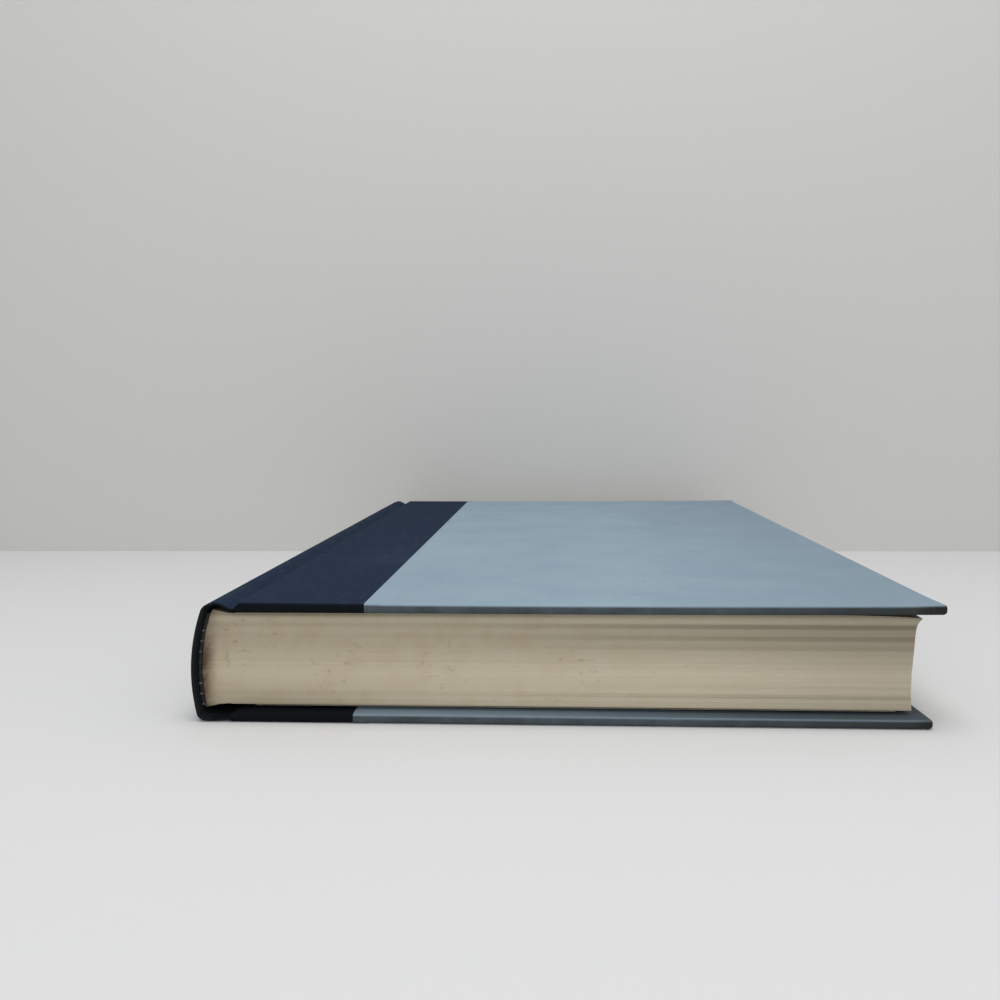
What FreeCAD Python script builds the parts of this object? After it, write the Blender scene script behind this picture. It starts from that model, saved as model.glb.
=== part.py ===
"""A quarter-bound hardback book, lying closed on its back cover.

X runs from the spine to the fore-edge, Y from the tail to the head and Z up. The origin is the middle
of the back cover's outer face. The book stands cocked: each level above the back cover is shifted a
little towards the fore-edge, so every section below is drawn upright and then leaned.
"""
import FreeCAD, Part

import math
import os
import re

import Sketcher
from FreeCAD import Placement, Rotation, Vector

# Driving sizes, in millimetres
SIZES = {
    "leaf_height": 234.8,
    "leaf_width": 155.6,
    "leaves_thickness": 20.45,
    "endleaf_paper": 0.15,
    "fore_hollow": 0.9,
    "spine_round": 1.6,
    "shoulder_rise": 1.0,
    "shoulder_width": 5.0,
    "shoulder_round": 6.0,
    "cock": 2.2,
    "end_square": 3.1,
    "fore_square": 3.4,
    "joint_width": 8.3,
    "board_thickness": 1.6,
    "board_round": 0.3,
    "covering": 0.25,
    "turn_in": 15.0,
    "front_quarter": 26.7,
    "back_quarter": 25.9,
    "pastedown_paper": 0.15,
    "pastedown_margin": 3.2,
    "front_clearance": 0.3,
    "back_clearance": 0.95,
    "mull_cloth": 0.2,
    "glue_line": 0.05,
    "lining_paper": 0.15,
    "spine_hollow": 0.25,
    "inlay_card": 0.5,
    "band_reach": 10.0,
    "band_bead": 0.7,
    "band_sink": 0.5,
    "hinge_clearance": 0.3,
    "groove_wall": 1.2,
    "groove_floor": 2.3,
    "groove_depth": 1.5,
    "groove_round": 0.7,
    "crown_drop": 0.3,
    "crown_width": 2.3,
    "crown_round": 1.3,
}

# Formulas that several pieces share
COVER = "(board_thickness + 2 * covering)"
COVER_LENGTH = "(leaf_height + 2 * end_square)"
COVER_WIDTH = "(leaf_width + fore_hollow + fore_square - spine_round - joint_width)"
BOARD_LENGTH = f"({COVER_LENGTH} - 2 * covering)"
BOARD_WIDTH = f"({COVER_WIDTH} - covering)"
BLOCK_LOW = f"({COVER} + pastedown_paper + back_clearance + endleaf_paper)"
BLOCK_HIGH = f"({BLOCK_LOW} + leaves_thickness)"
THICKNESS = f"({BLOCK_HIGH} + endleaf_paper + front_clearance + pastedown_paper + {COVER})"
SPINE_LOW = f"({BLOCK_LOW} - shoulder_rise)"
SPINE_HIGH = f"({BLOCK_HIGH} + shoulder_rise)"
FORE_ARRIS = f"({COVER_WIDTH} / 2 - fore_square)"
SHOULDER_ARRIS = f"({FORE_ARRIS} - fore_hollow - leaf_width + spine_round)"
SHOULDER_FOOT = f"({SHOULDER_ARRIS} + shoulder_width)"
TILT = f"(cock / {THICKNESS})"
SPINE_HEIGHT = "(leaves_thickness + 2 * shoulder_rise)"
SPINE_CHORD = f"({SPINE_HEIGHT} * sqrt(1 + {TILT} ^ 2))"
FORE_CHORD = f"(leaves_thickness * sqrt(1 + {TILT} ^ 2))"
SPINE_RADIUS = f"(({SPINE_CHORD} ^ 2 / 4 + spine_round ^ 2) / (2 * spine_round))"
FORE_RADIUS = f"(({FORE_CHORD} ^ 2 / 4 + fore_hollow ^ 2) / (2 * fore_hollow))"
SPINE_MIDDLE = f"(({SPINE_LOW} + {SPINE_HIGH}) / 2)"
CENTRE_REACH = f"(({SPINE_RADIUS} - spine_round) / sqrt(1 + {TILT} ^ 2))"
CENTRE_X = f"({SHOULDER_ARRIS} + {TILT} * {SPINE_MIDDLE} + {CENTRE_REACH})"
CENTRE_Z = f"({SPINE_MIDDLE} - {TILT} * {CENTRE_REACH})"
INLAY_DEPTH = "(mull_cloth + glue_line + lining_paper + spine_hollow)"

doc = FreeCAD.newDocument("hardback_book")
sheet = doc.addObject("Spreadsheet::Sheet", "Sizes")
for row, (alias, size) in enumerate(SIZES.items(), start=1):
    sheet.set(f"A{row}", alias)
    sheet.set(f"B{row}", str(size))
    sheet.setAlias(f"B{row}", alias)
doc.recompute()


def cells(formula):
    """The formula with each size's name pointed at its cell in the sheet."""
    return re.sub(r"[a-z_]+", lambda word: f"Sizes.{word[0]}" if word[0] in SIZES else word[0], formula)


def value(formula):
    return float(sheet.evalExpression(cells(formula)))


def bind(item, **formulas):
    for name, formula in formulas.items():
        item.setExpression(name.replace("__", "."), cells(formula))


def leaned(x, z):
    """The formula of x at height z, after the book's lean."""
    return f"({x} + {TILT} * {z})"


def add(kind, name, **formulas):
    """A new primitive or operation, with its sizes bound to the sheet."""
    item = doc.addObject(kind, name)
    bind(item, **formulas)
    return item


def box_at(name, x, y, z, length, width, height):
    """A box by its low corner and its sizes along X, Y and Z."""
    return add("Part::Box", name, Length=length, Width=width, Height=height,
               Placement__Base__x=x, Placement__Base__y=y, Placement__Base__z=z)


def combine(kind, name, base, tool):
    item = doc.addObject(kind, name)
    item.Base = base
    item.Tool = tool
    return item


# Covers: each is a board in its wrapper, which is cloth beside the spine and paper over the rest

def rounded_box(name, base, radius):
    """A box with its edges rounded, apart from those of the face beside the spine."""
    doc.recompute()
    low = base.Shape.BoundBox.XMin
    item = doc.addObject("Part::Fillet", name)
    item.Base = base
    item.Edges = [(number, radius, radius) for number, edge in enumerate(base.Shape.Edges, start=1)
                  if edge.BoundBox.XMin > low + radius or edge.BoundBox.XLength > radius]
    return item


def cover(side, outer_z, inward, shift, quarter):
    """One cover. Inward is 1 where its inner face looks up and -1 where it looks down."""
    def level(depth, height):
        """The low Z of a layer of some height that starts at a depth from the outer face."""
        return f"({outer_z} + {depth})" if inward > 0 else f"({outer_z} - {depth} - {height})"

    def layer(name, depth, thickness, width, length):
        """A box of the cover's own layers, from its spine edge and centred along the book."""
        return box_at(f"{side}_{name}", f"({shift} - {COVER_WIDTH} / 2)", f"-({length}) / 2",
                      level(depth, thickness), width, length, thickness)

    def inside_turn_ins(name):
        """The space between the turn-ins, on the board's inner face."""
        return layer(name, "(covering + board_thickness)", "covering",
                     f"{BOARD_WIDTH} - turn_in", f"{BOARD_LENGTH} - 2 * turn_in")

    board_box = layer("board_box", "covering", "board_thickness", BOARD_WIDTH, BOARD_LENGTH)
    board = rounded_box(f"{side}_board", board_box, value("board_round"))
    hull_box = layer("hull_box", "0", COVER, COVER_WIDTH, COVER_LENGTH)
    hull = rounded_box(f"{side}_hull", hull_box, value("board_round + covering"))
    jacket = combine("Part::Cut", f"{side}_jacket", hull, board)
    wrapper = combine("Part::Cut", f"{side}_wrapper", jacket, inside_turn_ins("window"))

    cloth_region = layer("cloth_region", "0", COVER, quarter, COVER_LENGTH)
    cloth = combine("Part::Common", f"{side}_cloth", wrapper, cloth_region)
    paper = combine("Part::Cut", f"{side}_side_paper", wrapper, cloth_region)

    sheet_face = layer("pastedown_sheet", COVER, "pastedown_paper", f"{COVER_WIDTH} - pastedown_margin",
                       f"{COVER_LENGTH} - 2 * pastedown_margin")
    pastedown = combine("Part::Fuse", f"{side}_pastedown", inside_turn_ins("pastedown_pad"), sheet_face)
    return [board, cloth, paper, pastedown]


# Text block: the leaves, rounded and backed at the spine, faintly hollow at the fore-edge

def text_block():
    body = doc.addObject("PartDesign::Body", "text_block")
    section = body.newObject("Sketcher::SketchObject", "block_section")
    plane = next(item for item in body.Origin.OriginFeatures if item.Role == "XZ_Plane")
    section.AttachmentSupport = (plane, [""])
    section.MapMode = "FlatFace"

    corners = [
        (SHOULDER_ARRIS, SPINE_LOW),
        (SHOULDER_FOOT, BLOCK_LOW),
        (FORE_ARRIS, BLOCK_LOW),
        (FORE_ARRIS, BLOCK_HIGH),
        (SHOULDER_FOOT, BLOCK_HIGH),
        (SHOULDER_ARRIS, SPINE_HIGH),
    ]
    curved = {2: (FORE_RADIUS, "fore_hollow", -1), 5: (SPINE_RADIUS, "spine_round", 1)}
    points = [Vector(value(leaned(x, z)), value(z), 0) for x, z in corners]
    joins = []
    for side, start in enumerate(points):
        end = points[(side + 1) % len(points)]
        if side in curved:
            _, rise, bulge = curved[side]
            across = (end - start).cross(Vector(0, 0, 1)).normalize()
            crown = (start + end) / 2 + across * (value(rise) * bulge)
            arc_ends = (start, end) if bulge > 0 else (end, start)
            section.addGeometry(Part.Arc(arc_ends[0], crown, arc_ends[1]))
            joins.append((1, 2) if bulge > 0 else (2, 1))
        else:
            section.addGeometry(Part.LineSegment(start, end))
            joins.append((1, 2))
    for side in range(len(points)):
        following = (side + 1) % len(points)
        section.addConstraint(Sketcher.Constraint("Coincident", side, joins[side][1],
                                                  following, joins[following][0]))
    for side, (x, z) in enumerate(corners):
        for kind, formula, place in (("DistanceX", leaned(x, z), points[side].x),
                                     ("DistanceY", z, points[side].y)):
            number = section.addConstraint(Sketcher.Constraint(kind, -1, 1, side, joins[side][0], place))
            section.setExpression(f"Constraints[{number}]", cells(formula))
    for side, (radius, _, _) in curved.items():
        number = section.addConstraint(Sketcher.Constraint("Radius", side, value(radius)))
        section.setExpression(f"Constraints[{number}]", cells(radius))

    pad = body.newObject("PartDesign::Pad", "leaves")
    pad.Profile = section
    pad.Midplane = True
    bind(pad, Length="leaf_height")
    doc.recompute()

    feet = [f"Edge{number}" for number, edge in enumerate(pad.Shape.Edges, start=1)
            if edge.BoundBox.YLength > value("leaf_height") / 2
            and abs(edge.BoundBox.Center.x - value(leaned(SHOULDER_FOOT, SPINE_MIDDLE))) < value("cock")]
    bend = body.newObject("PartDesign::Fillet", "backed_shoulders")
    bend.Base = (pad, feet)
    bind(bend, Radius="shoulder_round")
    return body


def endleaf(side, low):
    """A free leaf on the block's face, from where the shoulder's bend ends to the fore-edge."""
    bend_end = f"({SHOULDER_FOOT} + shoulder_round * shoulder_rise / (2 * shoulder_width))"
    return box_at(f"{side}_endleaf", leaned(bend_end, low), "-leaf_height / 2", low,
                  f"{FORE_ARRIS} - {bend_end}", "leaf_height", "endleaf_paper")


# Spine layers: each lies round the block's spine, at a radius of its own about one axis

def upright(kind, name, low, **formulas):
    """A primitive whose axis lies along Y, through the centre of the spine's curve."""
    item = add(kind, name, Placement__Base__x=CENTRE_X, Placement__Base__y=low, Placement__Base__z=CENTRE_Z,
               **formulas)
    item.Placement = Placement(Vector(), Rotation(Vector(1, 0, 0), -90))
    return item


def spine_region(name, length, height):
    """The space on the spine side of the shoulders, as high as a layer is."""
    return box_at(name, f"{SHOULDER_ARRIS} - shoulder_width", f"-({length}) / 2",
                  f"{SPINE_MIDDLE} - ({height}) / 2", "2 * shoulder_width", length, height)


def curved_layer(name, depth, thickness, low, length):
    """A tube round the spine's axis, from some depth outside the block's spine outwards."""
    outer = upright("Part::Cylinder", f"{name}_outer", low,
                    Radius=f"{SPINE_RADIUS} + {depth} + {thickness}", Height=length)
    inner = upright("Part::Cylinder", f"{name}_inner", low, Radius=f"{SPINE_RADIUS} + {depth}", Height=length)
    return combine("Part::Cut", f"{name}_tube", outer, inner)


def spine_layer(name, depth, thickness, length, height):
    tube = curved_layer(name, depth, thickness, f"-({length}) / 2", length)
    return combine("Part::Common", name, tube, spine_region(f"{name}_region", length, height))


def end_band(name, end):
    """A head or tail band: a rolled bead on the leaves' edge, and the tape that glues it to the spine."""
    edge = "leaf_height / 2"
    tape_low = f"{edge} - band_reach" if end > 0 else f"-({edge} + band_bead)"
    tape = curved_layer(f"{name}_tape", "0", "mull_cloth", tape_low, "band_reach + band_bead")
    bead = upright("Part::Torus", f"{name}_bead", f"{end} * ({edge} + band_bead)",
                   Radius1=f"{SPINE_RADIUS} - band_sink", Radius2="band_bead")
    roll = combine("Part::Fuse", f"{name}_roll", tape, bead)
    region = spine_region(f"{name}_region", COVER_LENGTH, "leaves_thickness")
    return combine("Part::Common", name, roll, region)


# Spine cloth: one sheet from joint to joint, bent over the shoulders, with its ends turned in

def offset_outline(points, radii, depth):
    """The bent line moved to its right by a depth, as corner points and bend radii."""
    normals = [(end - start).normalize().cross(Vector(0, -1, 0)) for start, end in zip(points, points[1:])]
    moved = [points[0] + normals[0] * depth]
    bends = []
    for corner, radius, before, after in zip(points[1:-1], radii, normals, normals[1:]):
        moved.append(corner + (before + after) * (depth / (1 + before.dot(after))))
        turns_right = before.cross(after).y > 0
        bends.append(radius - depth if turns_right else radius + depth)
    moved.append(points[-1] + normals[-1] * depth)
    return moved, bends


def bent_edges(points, radii):
    """Straight runs joined by arcs that are tangent to both neighbours."""
    edges = []
    start = points[0]
    for before, corner, after, radius in zip(points, points[1:], points[2:], radii):
        back = (before - corner).normalize()
        onward = (after - corner).normalize()
        half = back.getAngle(onward) / 2
        run = radius / math.tan(half)
        middle = corner + (back + onward).normalize() * (radius / math.sin(half) - radius)
        first, last = corner + back * run, corner + onward * run
        edges += [Part.makeLine(start, first), Part.Arc(first, middle, last).toShape()]
        start = last
    return edges + [Part.makeLine(start, points[-1])]


def strip(points, radii, outer_depth, inner_depth, low, length):
    """A sheet between two depths of the bent line, drawn out along Y."""
    outer = bent_edges(*offset_outline(points, radii, outer_depth))
    inner = bent_edges(*offset_outline(points, radii, inner_depth))
    first, last = outer[0].Vertexes[0].Point, outer[-1].Vertexes[-1].Point
    inner_first, inner_last = inner[0].Vertexes[0].Point, inner[-1].Vertexes[-1].Point
    rim = outer + [Part.makeLine(last, inner_last)] + inner + [Part.makeLine(inner_first, first)]
    face = Part.Face(Part.Wire(Part.__sortEdges__(rim)))
    solid = face.extrude(Vector(0, length, 0))
    solid.translate(Vector(0, low, 0))
    return solid


def spine_cloth():
    covering, card = value("covering"), value("inlay_card")
    thickness, tilt = value(THICKNESS), value(TILT)
    centre = Vector(value(CENTRE_X), 0, value(CENTRE_Z))
    radius = value(f"{SPINE_RADIUS} + {INLAY_DEPTH}") + card + covering
    up_spine = Vector(tilt, 0, 1).normalize()
    outward = Vector(-1, 0, tilt).normalize()
    half_angle = math.asin(value(SPINE_HEIGHT) / 2 / radius)

    def end_of_curve(sign):
        """Where the spine's curve turns into a straight run, and the way that run goes."""
        spoke = outward * math.cos(half_angle) + up_spine * (sign * math.sin(half_angle))
        way = outward * -math.sin(half_angle) + up_spine * (sign * math.cos(half_angle))
        return centre + spoke * radius, way

    def corner(sign, level):
        """Where the straight run meets the top of the shoulder."""
        touch, way = end_of_curve(sign)
        return touch + way * ((level - touch.z) / way.z)

    def joint(side_z, inward):
        """The groove's outline, from beside the board to the top of the shoulder."""
        beside_board = value(f"-{COVER_WIDTH} / 2 - hinge_clearance")
        floor_start = beside_board - value("groove_wall")
        floor_end = floor_start - value("groove_floor")
        crown = value(f"{SHOULDER_ARRIS} + crown_width")
        floor = side_z + inward * value("groove_depth")
        crown_level = side_z + inward * value("crown_drop")
        profile = [(beside_board, side_z), (floor_start, floor), (floor_end, floor), (crown, crown_level)]
        shift = tilt * (thickness if inward < 0 else 0)
        return [Vector(across + shift, 0, level) for across, level in profile]

    apex = centre + outward * (radius / math.cos(half_angle))
    low_corner = corner(-1, value("crown_drop"))
    high_corner = corner(1, thickness - value("crown_drop"))
    front, back = joint(thickness, -1), joint(0, 1)
    points = back + [low_corner, apex, high_corner] + front[::-1]
    groove_round, crown_round = value("groove_round"), value("crown_round")
    joint_bends = [groove_round, groove_round, crown_round]
    radii = joint_bends + [crown_round, radius, crown_round] + joint_bends[::-1]

    cover_length = value(COVER_LENGTH)
    tail, head = -cover_length / 2, cover_length / 2
    sheet_solid = strip(points, radii, 0, covering, tail, cover_length)
    spine_line = [(low_corner + end_of_curve(-1)[0]) / 2, apex, (high_corner + end_of_curve(1)[0]) / 2]
    under_card = covering + card
    turned_in = value("turn_in")
    folds = []
    for edge_low, fold_low in ((tail, tail), (head - covering, head - turned_in)):
        folds.append(strip(spine_line, [radius], covering, under_card + covering, edge_low, covering))
        folds.append(strip(spine_line, [radius], under_card, under_card + covering, fold_low, turned_in))
    cloth = doc.addObject("Part::Feature", "spine_cloth")
    cloth.Shape = sheet_solid.multiFuse(folds).removeSplitter()
    return cloth


pieces = cover("back", "0", 1, "0", "back_quarter")
pieces += cover("front", THICKNESS, -1, "cock", "front_quarter")
pieces += [
    text_block(),
    endleaf("front", BLOCK_HIGH),
    endleaf("back", f"({BLOCK_LOW} - endleaf_paper)"),
    spine_layer("mull", "0", "mull_cloth", "leaf_height - 2 * band_reach - 2 * band_bead", SPINE_HEIGHT),
    spine_layer("spine_lining", "(mull_cloth + glue_line)", "lining_paper", "leaf_height",
                "leaves_thickness"),
    spine_layer("spine_inlay", INLAY_DEPTH, "inlay_card", BOARD_LENGTH, SPINE_HEIGHT),
    end_band("head_band", 1),
    end_band("tail_band", -1),
    spine_cloth(),
]
doc.recompute()

for item in doc.Objects:
    if {"Invalid", "Error"} & set(item.State):
        raise RuntimeError(f"{item.Name} failed: {item.State}")
for piece in pieces:
    piece.Label = piece.Name
    if piece.Shape.isNull() or not piece.Shape.isValid() or len(piece.Shape.Solids) != 1:
        raise RuntimeError(f"{piece.Label} isn't one valid solid")

os.makedirs("parts", exist_ok=True)
for piece in pieces:
    piece.Shape.exportStep(f"parts/{piece.Label}.step")
    box = piece.Shape.BoundBox
    print(f"{piece.Label}: {box.XMin:.2f} {box.XMax:.2f}  {box.YMin:.2f} {box.YMax:.2f}  "
          f"{box.ZMin:.2f} {box.ZMax:.2f}  {piece.Shape.Volume:.0f} mm3")
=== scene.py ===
"""Quarter-bound hardback book, closed, lying on its back cover with the tail edge towards the camera."""
import math
import random

import bmesh
import bpy
from mathutils import Matrix, Vector, noise


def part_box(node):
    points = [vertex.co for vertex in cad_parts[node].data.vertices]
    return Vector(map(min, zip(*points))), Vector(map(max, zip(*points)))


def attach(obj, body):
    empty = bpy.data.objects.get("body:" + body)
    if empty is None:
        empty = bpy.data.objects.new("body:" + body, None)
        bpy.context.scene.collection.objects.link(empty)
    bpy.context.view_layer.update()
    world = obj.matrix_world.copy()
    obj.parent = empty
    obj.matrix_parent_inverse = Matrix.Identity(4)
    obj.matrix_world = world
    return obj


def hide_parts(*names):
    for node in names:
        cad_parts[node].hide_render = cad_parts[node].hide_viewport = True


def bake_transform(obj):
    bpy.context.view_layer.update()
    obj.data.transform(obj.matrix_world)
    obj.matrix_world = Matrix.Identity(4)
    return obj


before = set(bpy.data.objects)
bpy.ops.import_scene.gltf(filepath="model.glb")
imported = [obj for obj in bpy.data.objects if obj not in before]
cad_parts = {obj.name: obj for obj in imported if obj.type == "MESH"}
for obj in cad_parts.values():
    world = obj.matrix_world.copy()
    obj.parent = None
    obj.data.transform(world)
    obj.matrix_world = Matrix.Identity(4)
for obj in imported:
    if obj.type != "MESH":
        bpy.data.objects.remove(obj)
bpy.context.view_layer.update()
MM = 0.001


# Camera: where the photograph was taken from, low over the tail edge and left of the middle.
# The lens is the one that a 1000 pixel square frame has at a focal length of 925 pixels.
SENSOR_WIDTH = 36.0
FOCAL_SHARE = 0.925
camera_place = Vector((-4.33, -316.46, 67.24)) * MM
camera_yaw, camera_pitch, camera_roll = math.radians(-3.485), math.radians(-5.230), math.radians(-0.492)
forward = Vector((math.sin(camera_yaw) * math.cos(camera_pitch),
                  math.cos(camera_yaw) * math.cos(camera_pitch), math.sin(camera_pitch)))
level_right = Vector((math.cos(camera_yaw), -math.sin(camera_yaw), 0))
level_up = level_right.cross(forward)
right = level_right * math.cos(camera_roll) + level_up * math.sin(camera_roll)
up = level_up * math.cos(camera_roll) - level_right * math.sin(camera_roll)
camera_data = bpy.data.cameras.new("camera")
camera_data.sensor_width = SENSOR_WIDTH
camera_data.lens = SENSOR_WIDTH * FOCAL_SHARE
camera_data.clip_start = 0.01
camera = bpy.data.objects.new("camera", camera_data)
bpy.context.collection.objects.link(camera)
camera.matrix_world = Matrix.Translation(camera_place) @ Matrix((right, up, -forward)).transposed().to_4x4()
bpy.context.scene.camera = camera


# Stage: a pale floor with a plain wall close behind the head, a wide lamp overhead, another far in front and
# an even sky. The floor and wall show only from the side that the photograph sees, so the book can be
# turned, and the floor lies just under the laps of the back cover's paper.
FLOOR_COLOUR = (0.70, 0.70, 0.70)
WALL_COLOUR = (0.62, 0.615, 0.595)
WALL_Y = 0.138
FLOOR_REACH = 2.0
WALL_REACH = (1.2, 0.4)
FLOOR_DROP = 0.00012
SKY_COLOUR = (0.97, 0.985, 1.0)
SKY_STRENGTH = 0.50


def stage_material(name, colour):
    """A matt surface that a ray meets only on its front."""
    material = bpy.data.materials.new(name)
    material.use_nodes = True
    tree = material.node_tree
    shader = tree.nodes["Principled BSDF"]
    shader.inputs["Base Color"].default_value = (*colour, 1)
    shader.inputs["Roughness"].default_value = 0.9
    shader.inputs["Specular IOR Level"].default_value = 0.0
    side = tree.nodes.new("ShaderNodeNewGeometry")
    clear = tree.nodes.new("ShaderNodeBsdfTransparent")
    mix = tree.nodes.new("ShaderNodeMixShader")
    tree.links.new(side.outputs["Backfacing"], mix.inputs["Fac"])
    tree.links.new(shader.outputs["BSDF"], mix.inputs[1])
    tree.links.new(clear.outputs["BSDF"], mix.inputs[2])
    tree.links.new(mix.outputs["Shader"], tree.nodes["Material Output"].inputs["Surface"])
    return material


def stage_plane(name, place, turn, reach, colour):
    bm = bmesh.new()
    bmesh.ops.create_grid(bm, x_segments=1, y_segments=1, size=1.0)
    bmesh.ops.scale(bm, vec=(*reach, 1), verts=bm.verts)
    bmesh.ops.transform(bm, matrix=Matrix.Translation(place) @ Matrix.Rotation(turn, 4, "X"), verts=bm.verts)
    mesh = bpy.data.meshes.new(name)
    bm.to_mesh(mesh)
    bm.free()
    plane = bpy.data.objects.new(name, mesh)
    bpy.context.collection.objects.link(plane)
    mesh.materials.append(stage_material(name, colour))


stage_plane("floor", (0, 0, -FLOOR_DROP), 0.0, (FLOOR_REACH, FLOOR_REACH), FLOOR_COLOUR)
stage_plane("wall", (0, WALL_Y, WALL_REACH[1]), math.radians(90), WALL_REACH, WALL_COLOUR)


def soft_lamp(name, place, size, watts, aim):
    """A round lamp that looks at a point."""
    data = bpy.data.lights.new(name, "AREA")
    data.shape = "DISK"
    data.size = size
    data.energy = watts
    lamp = bpy.data.objects.new(name, data)
    bpy.context.collection.objects.link(lamp)
    lamp.location = place
    lamp.rotation_euler = (Vector(aim) - Vector(place)).to_track_quat("-Z", "Y").to_euler()


soft_lamp("ceiling_lamp", place=(0.0, -0.19, 0.72), size=0.45, watts=2.30, aim=(0.0, -0.19, 0.0))
soft_lamp("front_lamp", place=(0.05, -0.95, 0.48), size=0.50, watts=2.5, aim=(0.0, 0.0, 0.0))
world = bpy.data.worlds.new("soft_sky")
world.use_nodes = True
sky = world.node_tree.nodes["Background"]
sky.inputs["Color"].default_value = (*SKY_COLOUR, 1)
sky.inputs["Strength"].default_value = SKY_STRENGTH
bpy.context.scene.world = world
bpy.context.scene.view_settings.view_transform = "Standard"


# Leaves: one block of cream leaves, rounded and backed at the spine and faintly hollow at the fore-edge,
# where the top ones droop. They are sewn in gatherings and cut on three sides, and each leaf's edge lies a
# few hundredths of a millimetre in or out. Lengths here are in millimetres.
tail, head = (y / MM for y in (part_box("text_block")[0].y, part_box("text_block")[1].y))
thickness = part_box("front_side_paper")[1].z / MM
cock = (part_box("front_side_paper")[1].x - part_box("back_side_paper")[1].x) / MM
cover_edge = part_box("back_side_paper")[1].x / MM
tilt = cock / thickness
block_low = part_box("back_endleaf")[1].z / MM
block_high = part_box("front_endleaf")[0].z / MM
shoulder_rise = block_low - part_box("text_block")[0].z / MM
fore_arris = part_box("back_endleaf")[1].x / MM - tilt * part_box("back_endleaf")[0].z / MM
LEAF_WIDTH = 155.6
SHOULDER_WIDTH = 5.0
FORE_HOLLOW = 0.9
FLARE_POWER = {"low": 2.0, "high": 8.0}
HIGH_FLARE = 0.2
SPINE_ROUND = 1.6
SHOULDER_POWER = 1.4
SHOULDER_SOFT = 0.8
SOFT_FROM = 0.78
LEAVES = 220
SIGNATURE = 16
EDGE_SHARE = 0.76
GATHERING_OUT = 0.02
LEAF_OUT = 0.014
LEAF_RIPPLE = 0.10
FRONT_BOW = 0.30
BOW_MIDDLE = 5.0
BOW_REACH = 80.0
LEAF_SAG = 0.65
SAG_START = 48.0
SAG_RUN = 25.6
SAG_FROM = 0.84
WELD = 0.002
# Shares of the block's thickness at which painted shade lines run along a gathering, and how dark each one
# is.
GATHERING_SHADE_LINES = ((0.876, 0.80), (0.752, 0.60), (0.650, 0.35), (0.125, 0.45))
shoulder_arris = fore_arris - FORE_HOLLOW - LEAF_WIDTH + SPINE_ROUND
spine_middle = (block_low + block_high) / 2
spine_height = block_high - block_low + 2 * shoulder_rise
spine_chord = spine_height * math.sqrt(1 + tilt ** 2)
spine_radius = (spine_chord ** 2 / 4 + SPINE_ROUND ** 2) / (2 * SPINE_ROUND)
up_spine = Vector((tilt, 0, 1)).normalized()
outward = Vector((-1, 0, tilt)).normalized()
spine_centre = (Vector((shoulder_arris + tilt * spine_middle, 0, spine_middle))
                - outward * (spine_radius - SPINE_ROUND))


def cover_bow(x):
    """How far the front cover has bowed up, away from the block, at x."""
    return FRONT_BOW * ((x - BOW_MIDDLE) / BOW_REACH) ** 2


def top_sag(x):
    """How far the top leaves droop away from the front cover towards the fore-edge."""
    return LEAF_SAG * max((x - SAG_START) / SAG_RUN, 0) ** 3


def spine_x(z, radius):
    """X of the spine's curve, or of a layer outside it, at height z."""
    reach = z - spine_centre.z
    return spine_centre.x - math.sqrt(max(radius ** 2 - reach ** 2, 0))


def fore_x(z):
    """X of the fore-edge at height z: hollow, with the top leaves flaring out."""
    share = (z - spine_middle) / ((block_high - block_low) / 2)
    power = FLARE_POWER["low" if share < 0 else "high"]
    hollow = FORE_HOLLOW * (1 + HIGH_FLARE * max(share, 0))
    return fore_arris + tilt * z - hollow * (1 - abs(share) ** power)


def leaf_height(share, x):
    """Z at x of the leaf at a share of the block's thickness: leaves fan out over the shoulders."""
    lean_x = x - tilt * (block_low + share * (block_high - block_low))
    flare = min(max((shoulder_arris + SHOULDER_WIDTH - lean_x) / SHOULDER_WIDTH, 0), 1)
    rise = shoulder_rise * flare ** SHOULDER_POWER
    ripple = LEAF_RIPPLE * noise.noise(Vector((x / 38, share * 5, 2.0))) * 4 * share * (1 - share)
    droop = top_sag(x) * max((share - SAG_FROM) / (1 - SAG_FROM), 0) ** 1.5
    return block_low - rise + share * (block_high - block_low + 2 * rise) + ripple - droop


def mapped_sheet(columns, rows, place, uv_reach=(1.0, 1.0), bm=None):
    """A grid sheet whose point at column i and row j goes to place(i, j), in millimetres.

    Its UV map runs along the columns and rows, over the reach given in metres.
    """
    bm = bm or bmesh.new()
    uv = bm.loops.layers.uv.active or bm.loops.layers.uv.new("UVMap")
    verts = bmesh.ops.create_grid(bm, x_segments=columns, y_segments=rows, size=0.5)["verts"]
    for face in {face for vert in verts for face in vert.link_faces}:
        for loop in face.loops:
            loop[uv].uv = ((loop.vert.co.x + 0.5) * uv_reach[0], (loop.vert.co.y + 0.5) * uv_reach[1])
    for vert in verts:
        column = round((vert.co.x + 0.5) * columns)
        row = round((vert.co.y + 0.5) * rows)
        vert.co = Vector(place(column, row)) * MM
    return bm


def turn_faces_out(bm, inside):
    """Turns an open sheet's faces so that, on the whole, they look away from a point given in millimetres."""
    bm.normal_update()
    outlook = sum(face.normal.dot(face.calc_center_median() - Vector(inside) * MM) * face.calc_area()
                  for face in bm.faces)
    if outlook < 0:
        bmesh.ops.reverse_faces(bm, faces=bm.faces)


def finish_piece(name, bm, material, body=None, replaced=(), smooth=40.0):
    """Turns a bmesh into a piece that rides on a body and stands for CAD nodes."""
    mesh = bpy.data.meshes.new(name)
    bm.to_mesh(mesh)
    bm.free()
    mesh.materials.append(material)
    piece = bpy.data.objects.new(name, mesh)
    bpy.context.collection.objects.link(piece)
    for polygon in mesh.polygons:
        polygon.use_smooth = True
    mesh.set_sharp_from_angle(angle=math.radians(smooth))
    if body:
        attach(piece, body)
    if replaced:
        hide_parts(*replaced)
    return piece


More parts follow.
